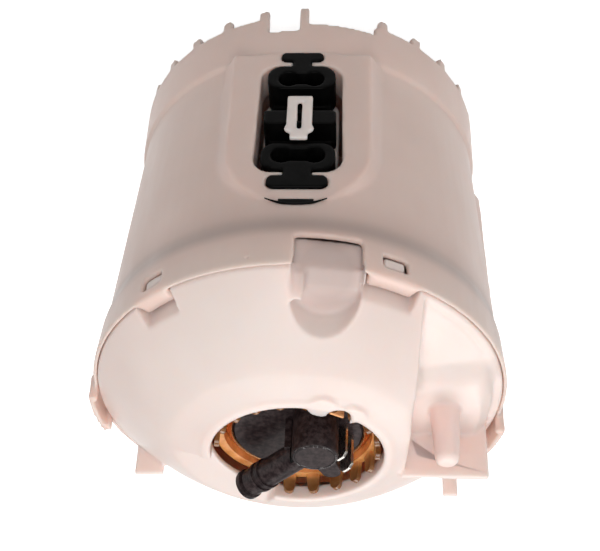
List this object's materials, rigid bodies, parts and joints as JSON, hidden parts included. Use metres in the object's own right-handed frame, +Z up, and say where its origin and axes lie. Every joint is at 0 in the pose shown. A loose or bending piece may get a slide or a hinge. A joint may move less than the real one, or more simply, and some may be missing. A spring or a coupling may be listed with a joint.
{
  "type": "fuel pump module",
  "caption": "In-tank fuel pump module: plastic reservoir on a toothed collar, pump hung on rubber mounts, domed clipped cover and barbed outlet.",
  "frame": {"origin": "on the module's axis, in the plane of the collar's tooth tips", "axes": "+Z up along the module's axis, -Y out through the front rubber mount"},
  "size_m": [0.1259, 0.124, 0.1389],
  "materials": {
    "natural_plastic": "translucent natural white moulding",
    "black_rubber": "moulded nitrile rubber",
    "black_plastic": "moulded black plastic",
    "amber_plastic": "amber translucent plastic",
    "can_metal": "copper-toned passivated steel",
    "terminal_brass": "tinned spade",
    "spring_steel": "drawn wire and ground shaft",
    "magnet_ferrite": "ferrite",
    "bearing_brass": "sintered bronze",
    "pump_aluminium": "die cast",
    "screen_fabric": "nylon mesh",
    "winding_metal": "laminated core and varnished winding",
    "commutator_copper": "copper segments",
    "brush_carbon": "carbon"
  },
  "bodies": {
    "module": {"base_strainer": "natural_plastic", "brush_spring_1": "spring_steel", "brush_spring_2": "spring_steel", "can_seal": "black_rubber", "check_valve_spring": "spring_steel", "inlet_screen": "screen_fabric", "lower_bearing": "bearing_brass", "magnet_1": "magnet_ferrite", "magnet_2": "magnet_ferrite", "outlet_elbow": "black_plastic", "pump_boot": "black_rubber", "pump_can": "can_metal", "pump_cover_lower": "pump_aluminium", "pump_cover_upper": "pump_aluminium", "pump_end_cap": "black_plastic", "pump_holder": "natural_plastic", "reservoir_housing": "natural_plastic", "retaining_crown": "amber_plastic", "rubber_mount_1": "black_rubber", "rubber_mount_2": "black_rubber", "rubber_mount_3": "black_rubber", "terminal_negative": "terminal_brass", "terminal_positive": "terminal_brass", "top_cover": "natural_plastic", "upper_bearing": "bearing_brass"},
    "rotor": {"armature": "winding_metal", "commutator": "commutator_copper", "impeller": "black_plastic", "rotor_shaft": "spring_steel"},
    "check_valve": {"check_valve_poppet": "natural_plastic"},
    "brush_one": {"brush_1": "brush_carbon"},
    "brush_two": {"brush_2": "brush_carbon"},
    "foot_valve": {"foot_valve_flap": "black_rubber"}
  },
  "joints": [
    {"name": "rotor_spin", "type": "hinge", "parent": "module", "child": "rotor", "pos_m": [0, 0, 0.08], "axis": [0, 0, 1], "continuous": true},
    {"name": "check_valve_slide", "type": "slide", "parent": "module", "child": "check_valve", "axis": [0, 0, 1], "range_m": [0, 0.002], "stiffness_N_per_m": 80, "springref_m": -0.002, "deforming": ["check_valve_spring"]},
    {"name": "brush_1_slide", "type": "slide", "parent": "module", "child": "brush_one", "axis": [0, 0, 1], "range_m": [0, 0.002], "stiffness_N_per_m": 120, "springref_m": -0.004, "deforming": ["brush_spring_1"]},
    {"name": "brush_2_slide", "type": "slide", "parent": "module", "child": "brush_two", "axis": [0, 0, 1], "range_m": [0, 0.002], "stiffness_N_per_m": 120, "springref_m": -0.004, "deforming": ["brush_spring_2"]},
    {"name": "foot_valve_slide", "type": "slide", "parent": "module", "child": "foot_valve", "axis": [0, 0, 1], "range_m": [0, 0.0015]}
  ]
}
